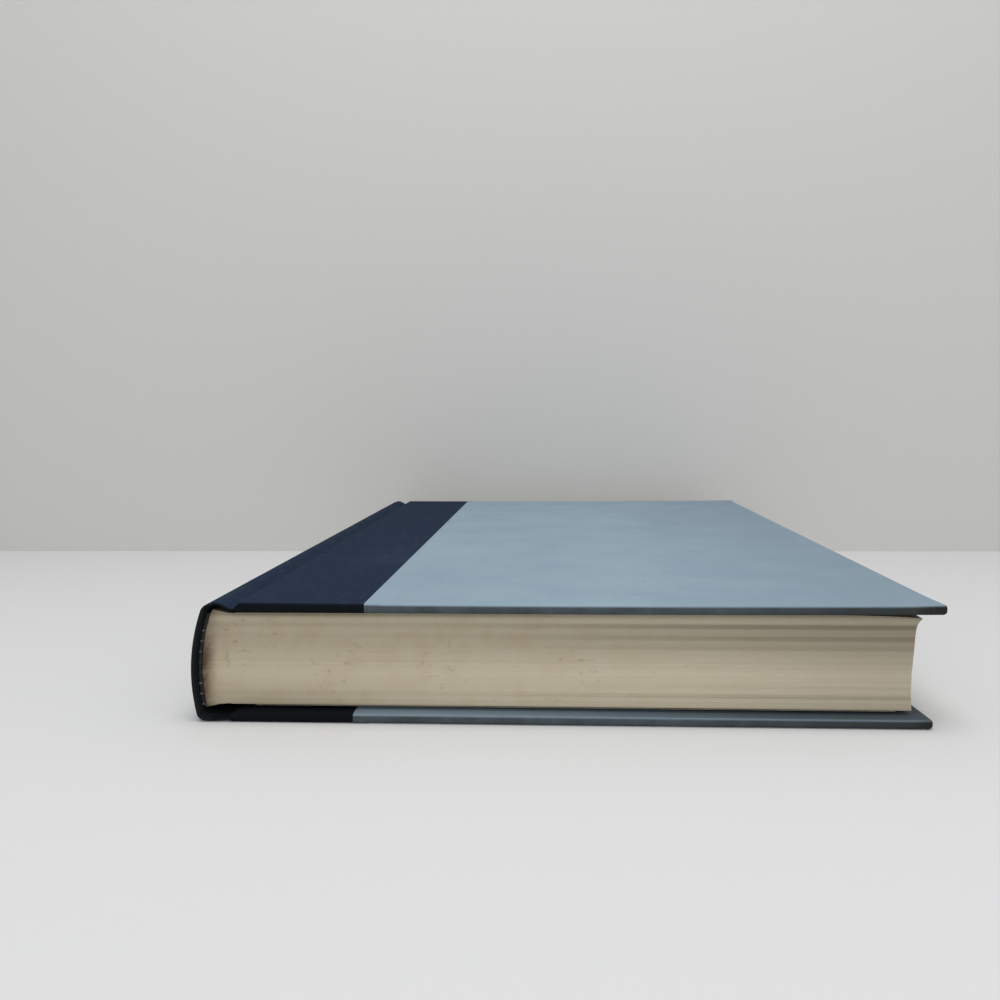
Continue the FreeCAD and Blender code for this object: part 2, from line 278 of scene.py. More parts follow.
def leaf_edges():
    """The block, as a skin wound once round the leaves' edges and closed above and below."""
    rng = random.Random(41)
    long_side, fore_side, spine_side = 48, 48, 8
    offsets = []
    gathering = 0.0
    for leaf in range(LEAVES):
        if leaf % SIGNATURE == 0:
            gathering = rng.uniform(-GATHERING_OUT, GATHERING_OUT)
        offsets.append([gathering + rng.uniform(-LEAF_OUT, LEAF_OUT) for _ in range(3)])

    def outline(leaf, share):
        """The corners of one leaf: x at the spine and fore-edge, y at the tail and head."""
        level = block_low + share * (block_high - block_low)
        tail_out, fore_out, head_out = offsets[leaf]
        soft = SHOULDER_SOFT * max((share - SOFT_FROM) / (1 - SOFT_FROM), 0) ** 2
        return spine_x(level, spine_radius) + soft, fore_x(level) + fore_out, tail - tail_out, head + head_out

    def place(column, row):
        leaf = row // 2
        share = min(max((leaf + (row % 2 - 0.5) * EDGE_SHARE + 0.5) / LEAVES, 0), 1)
        if row in (0, 2 * LEAVES - 1):
            share = round(share)
        spine, fore, front, rear = outline(leaf, share)
        if column <= long_side:
            x, y = spine + column / long_side * (fore - spine), front
        elif column <= long_side + fore_side:
            x, y = fore, front + (column - long_side) / fore_side * (rear - front)
        elif column <= 2 * long_side + fore_side:
            x, y = fore + (column - long_side - fore_side) / long_side * (spine - fore), rear
        else:
            x, y = spine, rear + (column - 2 * long_side - fore_side) / spine_side * (front - rear)
        return x, y, leaf_height(share, x)

    def place_end(leaf):
        share = leaf / (LEAVES - 1)
        spine, fore, front, rear = outline(leaf, share)

        def place_on_leaf(column, row):
            x = spine + column / long_side * (fore - spine)
            return x, front + row / fore_side * (rear - front), leaf_height(share, x)

        return place_on_leaf

    girth = 2 * long_side + fore_side + spine_side
    bm = mapped_sheet(girth, 2 * LEAVES - 1, place)
    for leaf in (0, LEAVES - 1):
        mapped_sheet(long_side, fore_side, place_end(leaf), bm=bm)
    bmesh.ops.remove_doubles(bm, verts=bm.verts, dist=WELD * MM)
    bmesh.ops.recalc_face_normals(bm, faces=bm.faces)
    return bm


def node_of(tree, kind, **settings):
    item = tree.nodes.new(f"ShaderNode{kind}")
    for name, setting in settings.items():
        setattr(item, name, setting)
    return item


def feed(tree, socket, source):
    """Joins a socket to another socket, or sets its value."""
    if hasattr(source, "is_output"):
        tree.links.new(source, socket)
    elif isinstance(source, tuple) and len(source) == 3 and socket.type == "RGBA":
        socket.default_value = (*source, 1)
    else:
        socket.default_value = source


def calc(tree, operation, *values):
    """The output of a Math node."""
    item = node_of(tree, "Math", operation=operation)
    for socket, source in zip(item.inputs, values):
        feed(tree, socket, source)
    return item.outputs[0]


def times(tree, first, second):
    return calc(tree, "MULTIPLY", first, second)


def blend_colour(tree, share, first, second, mode="MIX"):
    item = node_of(tree, "Mix", data_type="RGBA", blend_type=mode)
    item.clamp_factor = True
    feed(tree, item.inputs["Factor"], share)
    feed(tree, item.inputs["A"], first)
    feed(tree, item.inputs["B"], second)
    return next(socket for socket in item.outputs if socket.type == "RGBA")


def span(tree, source, low, high, out_low=0.0, out_high=1.0):
    """The source mapped from one range to another, smoothly and clamped."""
    item = node_of(tree, "MapRange", interpolation_type="SMOOTHSTEP", clamp=True)
    for name, value in (("Value", source), ("From Min", low), ("From Max", high),
                        ("To Min", out_low), ("To Max", out_high)):
        feed(tree, item.inputs[name], value)
    return item.outputs["Result"]


def stretched(tree, source, scale, shift=(0.0, 0.0, 0.0)):
    item = node_of(tree, "Mapping")
    feed(tree, item.inputs["Vector"], source)
    item.inputs["Scale"].default_value = scale
    item.inputs["Location"].default_value = shift
    return item.outputs["Vector"]


def speckle(tree, vector, scale, detail=4.0, roughness=0.55):
    item = node_of(tree, "TexNoise")
    feed(tree, item.inputs["Vector"], vector)
    item.inputs["Scale"].default_value = scale
    item.inputs["Detail"].default_value = detail
    item.inputs["Roughness"].default_value = roughness
    return item.outputs["Fac"]


def bump(tree, shader, height, strength, distance):
    item = node_of(tree, "Bump")
    item.inputs["Strength"].default_value = strength
    item.inputs["Distance"].default_value = distance
    feed(tree, item.inputs["Height"], height)
    tree.links.new(item.outputs["Normal"], shader.inputs["Normal"])


def new_finish(name, roughness, specular=0.3):
    """A material with its tree and shader, and the piece's own coordinates."""
    material = bpy.data.materials.new(name)
    material.use_nodes = True
    tree = material.node_tree
    shader = tree.nodes["Principled BSDF"]
    shader.inputs["Roughness"].default_value = roughness
    shader.inputs["Specular IOR Level"].default_value = specular
    return material, tree, shader


def split(tree, vector):
    """The sockets X, Y and Z of a vector."""
    item = node_of(tree, "SeparateXYZ")
    feed(tree, item.inputs[0], vector)
    return item.outputs


def place_axes(tree):
    """Object coordinates, which are in metres as all masks are, and their three parts."""
    coordinates = node_of(tree, "TexCoord").outputs["Object"]
    parts = split(tree, coordinates)
    return coordinates, parts["X"], parts["Y"], parts["Z"]


def leaf_edge_finish():
    """Cut cream paper: fine leaf lines, foxing, stained brown beside the spine, and painted shade along a few
    gatherings, under the front cover, towards the fore-edge, along the bottom and beside the spine.
    """
    material, tree, shader = new_finish("cut_leaf_edges", 0.85, 0.15)
    coordinates, x, _, z = place_axes(tree)
    lines = speckle(tree, stretched(tree, coordinates, (9, 9, 4200)), 1.0, 3.0, 0.7)
    bands = speckle(tree, stretched(tree, coordinates, (4, 4, 620)), 1.0, 2.0, 0.5)
    mottle = speckle(tree, coordinates, 60.0, 5.0)
    toward_fore = span(tree, x, -0.030, 0.045, 0.25, 1.0)
    paper = blend_colour(tree, span(tree, lines, 0.3, 0.75), (0.538, 0.480, 0.362), (0.585, 0.527, 0.401))
    shade = times(tree, span(tree, bands, 0.48, 0.80, 0.0, 0.30), toward_fore)
    paper = blend_colour(tree, shade, paper, (0.36, 0.32, 0.24))
    paper = blend_colour(tree, span(tree, mottle, 0.35, 0.75, 0.0, 0.35), paper, (0.56, 0.49, 0.355))
    # Painted shade: dark lines along a few gatherings, deeper towards the fore-edge.
    for share, strength in GATHERING_SHADE_LINES:
        level = (block_low + share * (block_high - block_low)) * MM
        away = calc(tree, "ABSOLUTE", calc(tree, "SUBTRACT", z, level))
        line = times(tree, span(tree, away, 0.0002, 0.0008, strength, 0.0), toward_fore)
        paper = blend_colour(tree, line, paper, (0.62, 0.61, 0.59), "MULTIPLY")

    # Painted shade over the upper leaves under the front cover's overhang, less at the very top and deeper
    # towards the fore-edge.
    shade_below_cover = times(tree, span(tree, z, 0.0095, 0.0195), span(tree, z, 0.0217, 0.0224, 1.0, 0.50))
    shade_below_cover = times(tree, shade_below_cover, span(tree, x, -0.075, 0.075, 0.31, 0.50))
    paper = blend_colour(tree, shade_below_cover, paper, (0.31, 0.30, 0.275), "MULTIPLY")
    # Painted shade: the leaves darken towards the fore-edge.
    paper = blend_colour(tree, span(tree, x, 0.020, 0.074, 0.0, 0.42), paper, (0.60, 0.60, 0.61), "MULTIPLY")
    # Browner and darker towards the spine: a brown tint to the paper, with painted shade from the cloth
    # spine's overhang.
    paper = blend_colour(tree, span(tree, x, -0.080, 0.010, 0.28, 0.0), paper, (0.44, 0.37, 0.265))
    # Painted shadow in a thin line along the top leaves, just under the front cover, deepest towards the
    # spine.
    top_shadow_line = times(tree, span(tree, z, 0.0228, 0.0238, 0.0, 0.60), span(tree, x, -0.060, 0.020, 1.0, 0.3))
    paper = blend_colour(tree, top_shadow_line, paper, (0.45, 0.43, 0.40), "MULTIPLY")
    # Painted shade along the bottom leaves, deepest towards the spine.
    foot_shade = times(tree, span(tree, z, 0.0030, 0.0100, 0.42, 0.0), span(tree, x, -0.075, -0.020, 1.0, 0.4))
    paper = blend_colour(tree, foot_shade, paper, (0.50, 0.48, 0.43), "MULTIPLY")
    blush = times(tree, span(tree, speckle(tree, coordinates, 210.0, 3.0), 0.42, 0.68),
                  span(tree, x, -0.020, 0.040, 0.36, 0.10))
    paper = blend_colour(tree, blush, paper, (0.93, 0.82, 0.74), "MULTIPLY")
    spots = speckle(tree, stretched(tree, coordinates, (520, 520, 760)), 1.0, 0.6, 0.4)
    clusters = speckle(tree, coordinates, 90.0, 1.0)
    foxed = times(tree, span(tree, spots, 0.60, 0.84), span(tree, clusters, 0.42, 0.62))
    foxed = times(tree, foxed, span(tree, x, -0.010, 0.045, 0.56, 0.05))
    paper = blend_colour(tree, foxed, paper, (0.28, 0.215, 0.145))
    # A brown glue stain beside the spine, deepened with painted shade from the cloth spine's overhang.
    leaned = calc(tree, "SUBTRACT", x, times(tree, z, tilt))
    stain_and_shade = span(tree, leaned, (shoulder_arris - 1.2) * MM, (shoulder_arris + 2.6) * MM, 0.97, 0.0)
    stain_and_shade = times(tree, stain_and_shade, span(tree, z, 0.0150, 0.0205, 1.0, 0.45))
    uneven = span(tree, speckle(tree, coordinates, 420.0, 2.0), 0.3, 0.6, 0.75, 1.0)
    stain_and_shade = times(tree, stain_and_shade, uneven)
    paper = blend_colour(tree, stain_and_shade, paper, (0.105, 0.060, 0.028))
    # Painted shade in the low corner of the leaves at the spine's shoulder.
    corner = times(tree, span(tree, z, 0.0016, 0.0036, 0.9, 0.0), span(tree, x, -0.076, -0.066, 1.0, 0.0))
    paper = blend_colour(tree, corner, paper, (0.040, 0.034, 0.026))
    feed(tree, shader.inputs["Base Color"], paper)
    bump(tree, shader, lines, 0.35, 0.00006)
    return material


finish_piece("leaves", leaf_edges(), leaf_edge_finish(), "text_block", ["text_block"], 30.0)


# Endleaves: one plain cream leaf on each face of the block, the free half of a folded endpaper.
# The fold that joins it to the pastedown goes with the pastedown, below.
ENDLEAF_WAVE = 0.072
ENDPAPER_REACH = (0.15, 0.235)


def endpaper_finish(name, shade_from, shade_to, shade_tint, share, until_x):
    """Plain uncoated endpaper, darkened with painted shade towards its tail and head as far from the spine as
    until_x.
    """
    material, tree, shader = new_finish(name, 0.8, 0.2)
    coordinates, x, y, _ = place_axes(tree)
    fibre = speckle(tree, coordinates, 900.0, 4.0, 0.6)
    cloud = speckle(tree, coordinates, 22.0, 3.0)
    paper = blend_colour(tree, span(tree, cloud, 0.3, 0.7), (0.71, 0.665, 0.555), (0.75, 0.705, 0.595))
    # Painted shade: the margins near the tail and head are darkened, as far from the spine as until_x.
    margin_shade = times(tree, span(tree, calc(tree, "ABSOLUTE", y), shade_from, shade_to, 0.0, share),
                  span(tree, x, until_x - MM, until_x, 1.0, 0.0))
    paper = blend_colour(tree, margin_shade, paper, shade_tint)
    feed(tree, shader.inputs["Base Color"], paper)
    bump(tree, shader, fibre, 0.25, 0.00004)
    return material


# The endleaves' margins take a brown painted shade.
endpaper = endpaper_finish("cream_endpaper", 0.108, 0.1165, (0.36, 0.30, 0.20), 0.85, 0.1)


def endleaf(side):
    low, high = (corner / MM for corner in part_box(f"{side}_endleaf"))
    columns, rows = 60, 70
    top = side == "front"

    def place(column, row):
        along, across = column / columns, row / rows
        x = low.x + along * (high.x - low.x)
        y = low.y + across * (high.y - low.y)
        wave = ENDLEAF_WAVE * abs(noise.noise(Vector((x / 60, y / 50, 3.0 if top else 9.0))))
        return x, y, high.z + wave - top_sag(x) if top else low.z - wave

    bm = mapped_sheet(columns, rows, place, ENDPAPER_REACH)
    turn_faces_out(bm, (0, 0, spine_middle))
    bmesh.ops.solidify(bm, geom=bm.faces, thickness=(high.z - low.z) * MM)
    finish_piece(f"{side}_free_endleaf", bm, endpaper, "text_block", [f"{side}_endleaf"], 30.0)


for side in ("front", "back"):
    endleaf(side)


# Spine linings: gauze mull glued round the backed leaves, a strip of kraft paper over it, and the loose
# card inlay that stiffens the cloth spine. They keep their CAD shapes.
def plain_finish(name, dark, light, scale, roughness):
    """A dull material of two near colours, with a fibrous surface."""
    material, tree, shader = new_finish(name, roughness, 0.2)
    coordinates = place_axes(tree)[0]
    grain = speckle(tree, coordinates, scale, 6.0, 0.65)
    feed(tree, shader.inputs["Base Color"], blend_colour(tree, span(tree, grain, 0.3, 0.7), dark, light))
    bump(tree, shader, grain, 0.3, 0.00008)
    return material


def give_finish(node, material):
    """A CAD node's mesh keeps its shape and takes a finish."""
    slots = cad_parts[node].data.materials
    slots.clear()
    slots.append(material)


give_finish("mull", plain_finish("mull_gauze", (0.50, 0.46, 0.36), (0.70, 0.66, 0.56), 1400.0, 0.9))
give_finish("spine_lining", plain_finish("kraft_paper", (0.20, 0.13, 0.07), (0.32, 0.22, 0.13), 500.0, 0.8))
give_finish("spine_inlay", plain_finish("spine_card", (0.30, 0.27, 0.22), (0.42, 0.39, 0.33), 600.0, 0.85))


# Head and tail bands: a cord core wound in navy silk with a pale stitch every few millimetres, glued to
# the spine edge of the leaves by its tape.
STITCH_PITCH = 2.4
STITCH_SHARE = 0.12
STITCH_SWELL = 1.12
THREAD_SWELL = 0.08
BAND_RADIUS = 0.45
BAND_OUT = 0.20
TAPE_OUT = 0.12
TAPE_REACH = 10.0
TAPE_ROWS = 3
BAND_SKIN = 0.08
BAND_REACH = 0.015
CORE_MIDDLE = 0.0062


def end_band(edge_y, way):
    """The band at one end of the spine: its tape, then the wound core round its section."""
    low_z, high_z = block_low - 0.2, block_high + 0.2
    section = [(1.0, -TAPE_REACH), (1.0, -TAPE_REACH / 2), (1.0, 0.0)]
    section += [(math.cos(math.radians(turn)), BAND_RADIUS * (1 + math.sin(math.radians(turn))))
                for turn in range(0, 330, 25)]
    columns, rows = 180, len(section) - 1

    def place(column, row):
        z = low_z + column / columns * (high_z - low_z)
        out, along = section[row]
        phase = (z - low_z) % STITCH_PITCH / STITCH_PITCH
        if row > TAPE_ROWS:
            thread = 1.0 + THREAD_SWELL * abs(math.sin(phase * math.pi * 8))
            swell = STITCH_SWELL if phase < STITCH_SHARE else thread
            out *= swell
            along = BAND_RADIUS + (along - BAND_RADIUS) * swell
        radius = spine_radius + (TAPE_OUT if row < TAPE_ROWS else BAND_OUT + BAND_RADIUS * out)
        return spine_x(z, radius), edge_y + way * along, z

    bm = mapped_sheet(columns, rows, place, ((high_z - low_z) * MM, BAND_REACH))
    turn_faces_out(bm, (spine_centre.x, edge_y + way * BAND_RADIUS, spine_middle))
    bmesh.ops.solidify(bm, geom=bm.faces, thickness=BAND_SKIN * MM)
    return bm


def band_finish():
    """Navy silk, with pale stitches across it."""
    material, tree, shader = new_finish("band_silk", 0.55, 0.4)
    coordinates = node_of(tree, "UVMap").outputs["UV"]
    parts = split(tree, coordinates)
    turn = calc(tree, "FRACT", calc(tree, "DIVIDE", parts["X"], STITCH_PITCH * MM))
    faded = speckle(tree, stretched(tree, coordinates, (330, 1, 1)), 1.0, 1.0)
    in_stitch = calc(tree, "LESS_THAN", turn, STITCH_SHARE)
    stitch = times(tree, in_stitch, span(tree, faded, 0.35, 0.60))
    across_core = calc(tree, "ABSOLUTE", calc(tree, "SUBTRACT", parts["Y"], CORE_MIDDLE))
    stitch = times(tree, stitch, span(tree, across_core, 0.0012, 0.0026, 1.0, 0.2))
    worn = speckle(tree, stretched(tree, coordinates, (900, 900, 1)), 1.0, 3.0)
    pale = blend_colour(tree, span(tree, worn, 0.3, 0.7), (0.10, 0.10, 0.09), (0.24, 0.23, 0.20))
    navy = blend_colour(tree, span(tree, worn, 0.3, 0.7), (0.003, 0.0035, 0.005), (0.008, 0.009, 0.012))
    feed(tree, shader.inputs["Base Color"], blend_colour(tree, stitch, navy, pale))
    return material


band_silk = band_finish()
for name, edge_y, way in (("tail_band", tail, -1), ("head_band", head, 1)):
    finish_piece(f"{name}_silk", end_band(edge_y, way), band_silk, "text_block", [name], 50.0)


# Boards: two plates of dense grey-brown board inside the cloth and paper, cut square, with both arrises
# eased at the spine edge, where the cloth is drawn tight into the joint and turned in over the board.
BOARD_INSET = 0.55
BOARD_REACH = 1.0
OUTER_EASE = 0.6
INNER_EASE = 0.9
BOARD_STRIPS = 12
SAME_PLACE = 1e-7
ALONG_X, ALONG_Y = Vector((1, 0, 0)), Vector((0, 1, 0))


def cut_through(bm, distance, normal):
    """Cuts a mesh by the plane that lies at a distance in metres along its normal."""
    bmesh.ops.bisect_plane(bm, geom=bm.verts[:] + bm.edges[:] + bm.faces[:], dist=SAME_PLACE,
                           plane_co=normal * distance, plane_no=normal)


def board(side):
    low, high = (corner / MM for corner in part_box(f"{side}_board"))
    low, high = low + Vector((-BOARD_REACH, BOARD_INSET, 0)), high - Vector((BOARD_INSET, BOARD_INSET, 0))
    outer_z, inner_z = (high.z, low.z) if side == "front" else (low.z, high.z)
    size, centre = high - low, (low + high) / 2
    bm = bmesh.new()
    bmesh.ops.create_cube(bm, size=1.0, matrix=Matrix.Translation(centre * MM)
                          @ Matrix.Diagonal((*(size * MM), 1)))
    for level, ease in ((outer_z * MM, OUTER_EASE), (inner_z * MM, INNER_EASE)):
        corner = Vector((low.x * MM, 0, level))
        arris = [edge for edge in bm.edges
                 if all((vert.co - corner).xz.length < SAME_PLACE for vert in edge.verts)]
        bmesh.ops.bevel(bm, geom=arris, offset=ease * MM, affect="EDGES", segments=5, profile=0.5)
    for step in range(1, BOARD_STRIPS):
        cut_through(bm, (low.x + size.x * step / BOARD_STRIPS) * MM, ALONG_X)
    if side == "front":
        for vert in bm.verts:
            vert.co.z += cover_bow(vert.co.x / MM) * MM
    return bm


board_finish = plain_finish("binders_board", (0.20, 0.17, 0.13), (0.33, 0.29, 0.23), 700.0, 0.9)
for side in ("front", "back"):
    finish_piece(f"{side}_board_plate", board(side), board_finish, f"{side}_cover", [f"{side}_board"],
                 35.0)


# Cloth: one piece of navy bookcloth glued over the spine, down through both joints and on to the boards,
# with its ends turned in over the card and boards. It is three pieces here: one round the spine and one on
# each board.
CLOTH = 0.25
COVER_DEPTH = 2.1
TURN_IN = 15.0
PAPER_LAP = 2.6
END_SQUARE = 3.1
LAP_SINK = 0.12
CLOTH_PAIR = 0.6
CARD_ROOM = 0.34
CARD_RUN = 1.4
CROWN_DROP = {"front": 0.05, "back": 0.15}
CROWN_ROUND = {"front": 2.3, "back": 2.0}
GROOVE_DEPTH = {"front": 1.35, "back": 0.4}
CROWN_START, CROWN_END = 1.2, 2.5
GROOVE_START, GROOVE_END = 5.0, 5.8
RISE_START = 5.4
LIP = 0.2
JOINT_RADII = (1.6, 0.7, 0.7, 0.7)
JOINT_STEP = 0.7
SPINE_STEP = 0.8
SPINE_BUILD = 1.4
LEAST_STEP = 0.02
UNEVENNESS = 0.02
WRAP_ROWS = 96
SINK_START = 0.1
board_inner = -cover_edge
FOLD = ((0.6, 0.0), (0.3, 0.038), (0.08, 0.143), (0.0, 0.286), (0.0, 0.74), (0.08, 0.88), (0.25, 0.965),
        (0.5, 1.0))


def bent_line(points, radii, step):
    """Points along straight runs and arcs, each with the outline's normal to its right, in the XZ plane."""
    line = []

    def add_run(start, end, normal):
        count = max(1, round((end - start).length / step))
        for index in range(count + 1):
            line.append((start.lerp(end, index / count), normal))

    start = points[0]
    for before, corner, after, radius in zip(points, points[1:], points[2:], radii):
        back, onward = (before - corner).normalized(), (after - corner).normalized()
        half = back.angle(onward) / 2
        run = radius / math.tan(half)
        centre = corner + (back + onward).normalized() * (radius / math.sin(half))
        first, last = corner + back * run, corner + onward * run
        travel, leaving = -back, onward
        first_normal = Vector((-travel.z, 0, travel.x))
        last_normal = Vector((-leaving.z, 0, leaving.x))
        add_run(start, first, first_normal)
        turn = math.pi - 2 * half
        count = max(3, round(radius * turn / (step * 0.5)))
        for index in range(1, count):
            share = index / count
            spoke = (first - centre).normalized().slerp((last - centre).normalized(), share) * radius
            normal = first_normal.slerp(last_normal, share)
            line.append((centre + spoke, normal))
        line.append((last, last_normal))
        start = last
    leaving = (points[-1] - start).normalized()
    add_run(start, points[-1], Vector((-leaving.z, 0, leaving.x)))
    cleaned = [line[0]]
    for point in line[1:]:
        if (point[0] - cleaned[-1][0]).length > LEAST_STEP:
            cleaned.append(point)
    return cleaned


def joint_points(side):
    """The cloth's outer line, from the middle of the shoulder's crown to under the side paper's edge."""
    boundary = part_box(f"{side}_side_paper")[0].x / MM
    shift = cock if side == "front" else 0.0
    crown, groove = CROWN_DROP[side], GROOVE_DEPTH[side]
    profile = [
        (shoulder_arris + CROWN_START, crown),
        (shoulder_arris + CROWN_END, crown),
        (shoulder_arris + GROOVE_START, groove),
        (shoulder_arris + GROOVE_END, groove),
        (board_inner - BOARD_REACH - LIP, 0.0),
        (boundary - shift + PAPER_LAP, 0.0),
    ]
    return [Vector((x + shift, 0, thickness - depth if side == "front" else depth)) for x, depth in profile]


def inner_line(side, line):
    """Where the cloth lies after its turn-in: close under the groove, and on the inside of the board."""
    shift = cock if side == "front" else 0.0
    rise_start = shoulder_arris + RISE_START
    inner = []
    deepest = 0.0
    for point, _ in line:
        depth = thickness - point.z if side == "front" else point.z
        deepest = max(deepest, depth + CLOTH_PAIR)
        travel = (point.x - shift - rise_start) / (board_inner - rise_start)
        on_board = min(max(travel, 0), 1)
        depth = deepest + (COVER_DEPTH - deepest) * on_board * on_board * (3 - 2 * on_board)
        inner.append(Vector((point.x, 0, thickness - depth if side == "front" else depth)))
    return inner


def wrap_stations():
    """Stations along Y for a sheet turned in at both ends: (y, share of the way to the turned-in line)."""
    cover_end = head + END_SQUARE
    stations = [(-cover_end + TURN_IN, 1.0)]
    stations += [(-cover_end + inset, share) for inset, share in reversed(FOLD)]
    inner = cover_end - FOLD[0][0]
    stations += [(-inner + 2 * inner * index / WRAP_ROWS, 0.0) for index in range(1, WRAP_ROWS)]
    stations += [(cover_end - inset, share) for inset, share in FOLD]
    stations.append((cover_end - TURN_IN, 1.0))
    return stations


def wrap_length():
    """The length of the cloth along Y, from one turned-in end to the other."""
    stations = wrap_stations()
    return sum(math.hypot(there - here, (there_share - here_share) * COVER_DEPTH)
               for (here, here_share), (there, there_share) in zip(stations, stations[1:]))


def cloth_sheet(line, inner, sink_from, bows):
    """A cloth strip along a bent line, turned in at the head and tail, and sunk beyond sink_from."""
    stations = wrap_stations()
    lengths, travelled = [0.0], [0.0]
    for (here, _), (there, _) in zip(line, line[1:]):
        lengths.append(lengths[-1] + (there - here).length)
    for (here, here_share), (there, there_share) in zip(stations, stations[1:]):
        travelled.append(travelled[-1] + math.hypot(there - here, (there_share - here_share) * COVER_DEPTH))
    columns, rows = len(line) - 1, len(stations) - 1

    def place(column, row):
        point, normal = line[column]
        y, share = stations[row]
        unevenness = UNEVENNESS * noise.noise(Vector((lengths[column] / 6, y / 9, 4.0)))
        moved = point.lerp(inner[column], share) + normal * unevenness
        if sink_from is not None and point.x > sink_from:
            middle = (point.z + inner[column].z) / 2
            moved.z += (middle - moved.z) * 2 * LAP_SINK / COVER_DEPTH
            y -= math.copysign(LAP_SINK, y)
        if bows:
            moved.z += cover_bow(moved.x)
        return moved.x, y, moved.z

    bm = mapped_sheet(columns, rows, place)
    uv = bm.loops.layers.uv.active
    for face in bm.faces:
        for loop in face.loops:
            column, row = round(loop[uv].uv.x * columns), round(loop[uv].uv.y * rows)
            loop[uv].uv = (lengths[column] * MM, travelled[row] * MM)
    return bm


def new_group(name, inputs, outputs):
    """A node group whose sockets have the given names and kinds, and the nodes at its two ends."""
    group = bpy.data.node_groups.new(name, "ShaderNodeTree")
    for way, sockets in (("INPUT", inputs), ("OUTPUT", outputs)):
        for label, kind in sockets.items():
            group.interface.new_socket(label, in_out=way, socket_type=f"NodeSocket{kind}")
    return group, group.nodes.new("NodeGroupInput"), group.nodes.new("NodeGroupOutput")


def weave_group():
    """Plain weave: warp and weft threads at a pitch, as a height and a thread mask."""
    group, given, result = new_group("plain_weave", {"Vector": "Vector", "Pitch": "Float"},
                                     {"Height": "Float", "Slub": "Float"})
    parts = split(group, given.outputs["Vector"])
    threads = []
    for axis in ("X", "Y"):
        turns = calc(group, "DIVIDE", parts[axis], given.outputs["Pitch"])
        threads.append(times(group, turns, math.pi))
    warp = calc(group, "ABSOLUTE", calc(group, "SINE", threads[0]))
    weft = calc(group, "ABSOLUTE", calc(group, "SINE", threads[1]))
    over = calc(group, "SINE", calc(group, "ADD", threads[0], math.pi / 2))
    under = calc(group, "SINE", calc(group, "ADD", threads[1], math.pi / 2))
    chequer = calc(group, "MULTIPLY_ADD", times(group, over, under), 0.5, 0.5)
    height = calc(group, "ADD", times(group, warp, chequer),
                  times(group, weft, calc(group, "SUBTRACT", 1.0, chequer)))
    feed(group, result.inputs["Height"], height)
    along = speckle(group, stretched(group, given.outputs["Vector"], (1800, 90, 1)), 1.0, 2.0)
    across = speckle(group, stretched(group, given.outputs["Vector"], (90, 1800, 1)), 1.0, 2.0)
    feed(group, result.inputs["Slub"], times(group, calc(group, "ADD", along, across), 0.5))
    return group


def scuff_group():
    """Light rubs and hair scratches over a surface, as a mask."""
    group, given, result = new_group("scuffs", {"Vector": "Vector"}, {"Rub": "Float", "Scratch": "Float"})
    cloud = speckle(group, given.outputs["Vector"], 28.0, 6.0, 0.62)
    feed(group, result.inputs["Rub"], span(group, cloud, 0.50, 0.80))
    turned = node_of(group, "Mapping")
    turned.inputs["Rotation"].default_value = (0.3, 0.2, 0.6)
    turned.inputs["Scale"].default_value = (900, 34, 60)
    group.links.new(given.outputs["Vector"], turned.inputs["Vector"])
    hairs = speckle(group, turned.outputs["Vector"], 1.0, 1.5, 0.5)
    broken = speckle(group, given.outputs["Vector"], 46.0, 2.0)
    feed(group, result.inputs["Scratch"],
         times(group, span(group, hairs, 0.70, 0.78), span(group, broken, 0.55, 0.65)))
    return group


plain_weave = weave_group()
scuffs = scuff_group()


def cloth_finish():
    """Navy starch-filled bookcloth, rubbed paler on the shoulders, with painted shade darkening its ends and
    turn-ins.
    """
    material, tree, shader = new_finish("navy_bookcloth", 0.85, 0.05)
    coordinates, x, _, z = place_axes(tree)
    weave = node_of(tree, "Group", node_tree=plain_weave)
    tree.links.new(node_of(tree, "UVMap").outputs["UV"], weave.inputs["Vector"])
    weave.inputs["Pitch"].default_value = 0.00042
    marks = node_of(tree, "Group", node_tree=scuffs)
    tree.links.new(coordinates, marks.inputs["Vector"])
    navy = blend_colour(tree, span(tree, weave.outputs["Slub"], 0.35, 0.65),
                        (0.0120, 0.0210, 0.0440), (0.0185, 0.0310, 0.0590))
    for mark, strength, colour in (("Rub", 0.30, (0.040, 0.056, 0.086)),
                                   ("Scratch", 0.55, (0.16, 0.18, 0.20))):
        navy = blend_colour(tree, times(tree, marks.outputs[mark], strength), navy, colour)
    crown = calc(tree, "ABSOLUTE", calc(tree, "SUBTRACT", z, thickness / 2 * MM))
    spine_side = span(tree, x, -0.0800, -0.0745, 1.0, 0.0)
    shoulder = times(tree, span(tree, crown, 0.0118, 0.0130), spine_side)
    worn = times(tree, shoulder, span(tree, speckle(tree, coordinates, 300.0), 0.45, 0.75))
    navy = blend_colour(tree, times(tree, worn, 0.22), navy, (0.075, 0.082, 0.095))
    # Painted shade: the cloth's ends and turn-ins, and a little of the face beside them, are darkened, less
    # so on the spine.
    around = split(tree, node_of(tree, "UVMap").outputs["UV"])["Y"]
    half_wrap = wrap_length() / 2
    from_middle = calc(tree, "ABSOLUTE", calc(tree, "SUBTRACT", around, half_wrap * MM))
    turned_in = span(tree, from_middle, (half_wrap - TURN_IN - 2.5) * MM, (half_wrap - TURN_IN - 1.5) * MM,
                     0.0, 0.92)
    end_shade_level = span(tree, x, -0.0825, -0.0800, 0.0125, 0.0046)
    end_shade_colour = node_of(tree, "CombineColor")
    for channel, shade_tint in (("Red", 0.97), ("Green", 1.08), ("Blue", 1.18)):
        feed(tree, end_shade_colour.inputs[channel], times(tree, end_shade_level, shade_tint))
    navy = blend_colour(tree, turned_in, navy, end_shade_colour.outputs["Color"])
    feed(tree, shader.inputs["Base Color"], navy)
    bump(tree, shader, weave.outputs["Height"], 0.35, 0.00006)
    return material


navy_bookcloth = cloth_finish()


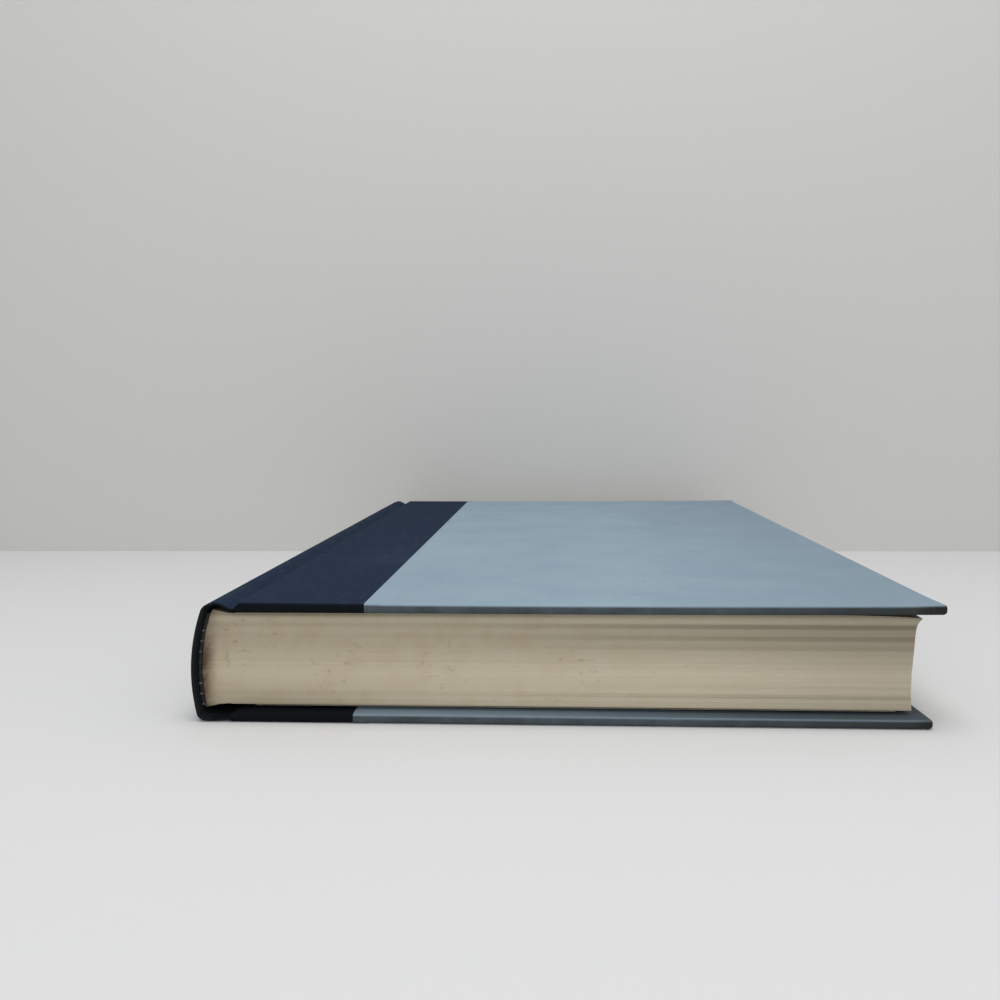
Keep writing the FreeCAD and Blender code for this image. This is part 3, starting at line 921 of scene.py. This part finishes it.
def spine_line():
    """The spine's outer line, from the back shoulder's crown to the front one's."""
    radius = spine_radius + SPINE_BUILD
    half_angle = math.asin(spine_height / 2 / radius)
    back_start, front_end = joint_points("back")[0], joint_points("front")[0]
    apex = spine_centre + outward * (radius / math.cos(half_angle))
    corners = []
    for sign, level in ((-1, CROWN_DROP["back"]), (1, thickness - CROWN_DROP["front"])):
        spoke = outward * math.cos(half_angle) + up_spine * (sign * math.sin(half_angle))
        touch = spine_centre + spoke * radius
        way = outward * -math.sin(half_angle) + up_spine * (sign * math.cos(half_angle))
        corners.append(touch + way * ((level - touch.z) / way.z))
    return bent_line([back_start, corners[0], apex, corners[1], front_end],
                     [CROWN_ROUND["back"], radius, CROWN_ROUND["front"]], SPINE_STEP)


def spine_inner(line):
    """The spine's turned-in line: cloth on cloth at the crowns, and on the card round the spine."""
    inner = []
    for point, normal in line:
        from_crown = min(point.z - CROWN_DROP["back"], thickness - CROWN_DROP["front"] - point.z)
        inner.append(point - normal * (CLOTH_PAIR + CARD_ROOM * min(max(from_crown / CARD_RUN, 0), 1)))
    return inner


def cloth_piece(name, line, inner, node, sink_from=None, bows=False):
    bm = cloth_sheet(line, inner, sink_from, bows)
    middle = len(line) // 2
    turn_faces_out(bm, line[middle][0].lerp(inner[middle], 0.5))
    bmesh.ops.solidify(bm, geom=bm.faces, thickness=CLOTH * MM)
    return finish_piece(name, bm, navy_bookcloth, None, [node], 50.0)


line = spine_line()
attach(cloth_piece("cloth_spine", line, spine_inner(line), "spine_cloth"), "text_block")
for side in ("front", "back"):
    line = bent_line(joint_points(side), JOINT_RADII, JOINT_STEP)
    quarter = cloth_piece(f"cloth_quarter_{side}", line, inner_line(side, line), f"{side}_cloth",
                          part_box(f"{side}_side_paper")[0].x / MM + SINK_START, side == "front")
    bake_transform(quarter)


# Side papers: blue-grey paper glued over each board and lapped a few millimetres on to the cloth. Three
# edges are turned in over the board, and the folded corners stand a little full.
PAPER = 0.16
CORNER_SWELL = 0.35
CORNER_REACH = 7.0
CORNER_LIFT = 0.4
FORE_REACH = 0.20
PAPER_RISE = 0.10
LAP_SEEN = 3.0
RISE_RUN = 0.7
STRIPS_ACROSS, STRIPS_ALONG = 12, 24
EDGE_ROUND = 0.75
INNER_ROUND = 0.8
CORNER_ROUND = 1.0


def side_paper(side):
    low, high = (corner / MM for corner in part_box(f"{side}_side_paper"))
    high = high + Vector((FORE_REACH, 0, 0))
    top = side == "front"
    bm = bmesh.new()
    size = high - low
    centre = (low + high) / 2
    box_matrix = Matrix.Translation(centre * MM) @ Matrix.Diagonal((size.x * MM, size.y * MM, size.z * MM, 1))
    bmesh.ops.create_cube(bm, size=1.0, matrix=box_matrix)
    open_face = min(bm.faces, key=lambda face: face.calc_center_median().x)
    bmesh.ops.delete(bm, geom=[open_face], context="FACES_ONLY")
    outer_z, inner_z = ((high.z * MM, low.z * MM) if top else (low.z * MM, high.z * MM))

    def rim(level):
        """The edges between a flat face at a level and the upright faces round it."""
        bm.normal_update()
        return [edge for edge in bm.edges if not edge.is_boundary
                and all(abs(vert.co.z - level) < SAME_PLACE for vert in edge.verts)
                and min(abs(face.normal.z) for face in edge.link_faces) < 0.5]

    upright = [edge for edge in bm.edges
               if not edge.is_boundary and abs(edge.verts[0].co.z - edge.verts[1].co.z) > MM]
    bmesh.ops.bevel(bm, geom=upright, offset=CORNER_ROUND * MM, affect="EDGES", segments=6, profile=0.5)
    bmesh.ops.bevel(bm, geom=rim(outer_z), offset=EDGE_ROUND * MM, affect="EDGES", segments=5, profile=0.5)
    bmesh.ops.bevel(bm, geom=rim(inner_z), offset=INNER_ROUND * MM, affect="EDGES", segments=5, profile=0.5)
    window_x, window_y = (high.x - TURN_IN) * MM, (high.y - TURN_IN) * MM
    lap_end = (low.x + LAP_SEEN) * MM
    cuts = [(window_x, ALONG_X), (-window_y, ALONG_Y), (window_y, ALONG_Y)]
    cuts += [(lap_end + share * RISE_RUN * MM, ALONG_X) for share in (0.0, 0.5, 1.0)]
    cuts += [((low.x + size.x * step / STRIPS_ACROSS) * MM, ALONG_X) for step in range(1, STRIPS_ACROSS)]
    cuts += [((low.y + size.y * step / STRIPS_ALONG) * MM, ALONG_Y) for step in range(1, STRIPS_ALONG)]
    for distance, normal in cuts:
        cut_through(bm, distance, normal)
    window = [face for face in bm.faces
              if abs(face.calc_center_median().z - inner_z) < 1e-6
              and face.calc_center_median().x < window_x and abs(face.calc_center_median().y) < window_y]
    bmesh.ops.delete(bm, geom=window, context="FACES")
    outward_z = 1 if top else -1
    for vert in bm.verts:
        toward_fore = (vert.co.x - lap_end) / (RISE_RUN * MM)
        lift = PAPER_RISE * (1 - min(max(toward_fore, 0), 1))
        outer = (vert.co.z - (low.z + high.z) / 2 * MM) * outward_z > 0
        if lift > 0 and outer:
            vert.co.z += lift * outward_z * MM
        if lift > 0 and abs(vert.co.y) > (high.y - EDGE_ROUND) * MM:
            vert.co.y += math.copysign(lift * MM, vert.co.y)
        corner_x = (high.x * MM - vert.co.x) / (CORNER_REACH * MM)
        corner_y = (high.y * MM - abs(vert.co.y)) / (CORNER_REACH * MM)
        if corner_x < 1 and corner_y < 1:
            swell = CORNER_SWELL * (1 - corner_x) * (1 - corner_y) * MM
            vert.co.x += swell
            if top and outer:
                vert.co.z += swell * CORNER_LIFT
        if top:
            vert.co.z += cover_bow(vert.co.x / MM) * MM
    turn_faces_out(bm, centre)
    bmesh.ops.solidify(bm, geom=bm.faces, thickness=PAPER * MM)
    return bm


def side_paper_finish():
    """Blue-grey cover paper: fibrous mottling, tiny flecks and a rubbed front corner, with painted shade on
    its rounded edges, on the inner faces and towards the fore-edge.
    """
    material, tree, shader = new_finish("blue_side_paper", 0.7, 0.12)
    coordinates, x, y, z = place_axes(tree)
    fibre = speckle(tree, coordinates, 1300.0, 5.0, 0.7)
    cloud = speckle(tree, coordinates, 40.0, 5.0, 0.6)
    flecks = speckle(tree, coordinates, 620.0, 1.0)
    blue = blend_colour(tree, span(tree, cloud, 0.30, 0.72), (0.250, 0.333, 0.402), (0.281, 0.372, 0.440))
    blue = blend_colour(tree, span(tree, fibre, 0.35, 0.80, 0.0, 0.35), blue, (0.250, 0.335, 0.400))
    blue = blend_colour(tree, span(tree, flecks, 0.74, 0.82, 0.0, 0.4), blue, (0.48, 0.56, 0.60))
    specks = speckle(tree, stretched(tree, coordinates, (430, 430, 430), (0.3, 0.1, 0.0)), 1.0, 1.0)
    blue = blend_colour(tree, span(tree, specks, 0.70, 0.80, 0.0, 0.3), blue, (0.150, 0.185, 0.215))
    marks = node_of(tree, "Group", node_tree=scuffs)
    tree.links.new(coordinates, marks.inputs["Vector"])
    scratched = times(tree, marks.outputs["Scratch"], 0.25)
    blue = blend_colour(tree, scratched, blue, (0.46, 0.54, 0.58))
    # Painted shade: the paper grows darker towards the fore-edge.
    blue = blend_colour(tree, span(tree, x, 0.005, 0.077, 0.0, 0.34), blue, (0.150, 0.195, 0.250))
    facing = split(tree, node_of(tree, "NewGeometry").outputs["Normal"])["Z"]
    flatness = span(tree, calc(tree, "ABSOLUTE", facing), 0.985, 0.998, 1.0, 0.0)
    edge_on = times(tree, span(tree, facing, 0.20, 0.995, 1.0, 0.0), flatness)
    # Painted shade on the inward faces of the squares, deeper towards the fore-edge.
    inside = times(tree, facing, span(tree, z, 0.005, 0.020, 1.0, -1.0))
    shaded = times(tree, span(tree, inside, 0.50, 0.97), span(tree, x, -0.040, 0.055, 0.37, 0.80))
    blue = blend_colour(tree, shaded, blue, (0.030, 0.036, 0.040))
    # Painted shade on the rounded edges, mottled, and darker still towards the fore-edge.
    rounded_edge_shade = blend_colour(tree, span(tree, speckle(tree, coordinates, 220.0), 0.30, 0.70),
                         (0.042, 0.051, 0.057), (0.064, 0.079, 0.091))
    rounded_edge_shade = blend_colour(tree, span(tree, x, 0.020, 0.074), rounded_edge_shade, (0.0275, 0.0320, 0.0310))
    blue = blend_colour(tree, times(tree, edge_on, 0.97), blue, rounded_edge_shade)
    end_x = calc(tree, "SUBTRACT", (cover_edge + cock) * MM, x)
    end_y = calc(tree, "ADD", y, (head + END_SQUARE) * MM)
    reach = calc(tree, "ADD", end_x, times(tree, end_y, 2.5))
    rubbed = times(tree, span(tree, reach, 0.0025, 0.0070, 1.0, 0.0), edge_on)
    bare = span(tree, speckle(tree, coordinates, 1100.0, 2.0), 0.64, 0.72, 0.0, 0.8)
    scraped = blend_colour(tree, bare, (0.020, 0.021, 0.019), (0.26, 0.26, 0.23))
    blue = blend_colour(tree, rubbed, blue, scraped)
    feed(tree, shader.inputs["Base Color"], blue)
    bump(tree, shader, fibre, 0.18, 0.00005)
    return material


blue_side_paper = side_paper_finish()
for side in ("front", "back"):
    finish_piece(f"side_paper_{side}", side_paper(side), blue_side_paper, f"{side}_cover",
                 [f"{side}_side_paper"], 35.0)


# Pastedowns: the glued half of each endpaper. It covers the turn-ins up to a few millimetres from the
# board's edges, and its fold runs across the joint to the free leaf.
PASTEDOWN_PAPER = 0.135
PASTEDOWN_TRIM = 2.4
PASTEDOWN_MARGIN = 3.2
FOLD_INSET = 0.4
WINDOW_STEP = 0.16
WINDOW_RUN = 1.5
LEAF_GAP = 0.02
PASTED_RIPPLE = 0.02
FAR_OUT = 1000.0


def pastedown(side):
    top = side == "front"
    low, high = (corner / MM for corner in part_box(f"{side}_pastedown"))
    low, high = low + Vector((0, PASTEDOWN_TRIM, 0)), high - Vector((PASTEDOWN_TRIM, PASTEDOWN_TRIM, 0))
    leaf_low, leaf_high = (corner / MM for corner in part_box(f"{side}_endleaf"))
    face_z = low.z if top else high.z
    leaf_z = leaf_high.z if top else leaf_low.z
    inward = -1 if top else 1
    hinge = low.x
    window_x, window_y = high.x + PASTEDOWN_TRIM - TURN_IN + PASTEDOWN_MARGIN, head + END_SQUARE - TURN_IN
    fold_end = leaf_low.x + FOLD_INSET
    stations = [fold_end, fold_end + 0.5, hinge - 1.4, hinge - 0.7, hinge]
    stations += [hinge + 1.0 + (window_x - 1.2 - hinge) * index / 40 for index in range(41)]
    stations += [window_x + 0.3, high.x - 5, high.x]
    columns, rows = len(stations) - 1, 90

    def place(column, row):
        x = stations[column]
        y = low.y + (high.y - low.y) * row / rows
        across = min(max((hinge - x) / (hinge - fold_end), 0), 1)
        smooth = across * across * (3 - 2 * across)
        z = face_z + (leaf_z + inward * LEAF_GAP - face_z) * smooth
        inside = (min(max((window_x - x) / WINDOW_RUN, 0), 1)
                  * min(max((window_y - abs(y)) / WINDOW_RUN, 0), 1))
        step = WINDOW_STEP * inside * (1 - smooth)
        ripple = PASTED_RIPPLE * noise.noise(Vector((x / 14, y / 16, 5.0)))
        bow = cover_bow(x) * (1 - smooth) if top else 0.0
        return x, y, z - inward * (step + ripple) + bow

    bm = mapped_sheet(columns, rows, place, ENDPAPER_REACH)
    turn_faces_out(bm, (0, 0, face_z - inward * FAR_OUT))
    bmesh.ops.solidify(bm, geom=bm.faces, thickness=PASTEDOWN_PAPER * MM)
    piece = finish_piece(f"{side}_endpaper_pastedown", bm, pasted_paper, None, [f"{side}_pastedown"],
                         30.0)
    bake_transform(piece)


# The pastedowns' margins are painted almost black, as shade in the gap between the leaves and the boards.
pasted_paper = endpaper_finish("pasted_endpaper", 0.1115, 0.1135, (0.014, 0.013, 0.012), 1.0, -0.0720)
for side in ("front", "back"):
    pastedown(side)
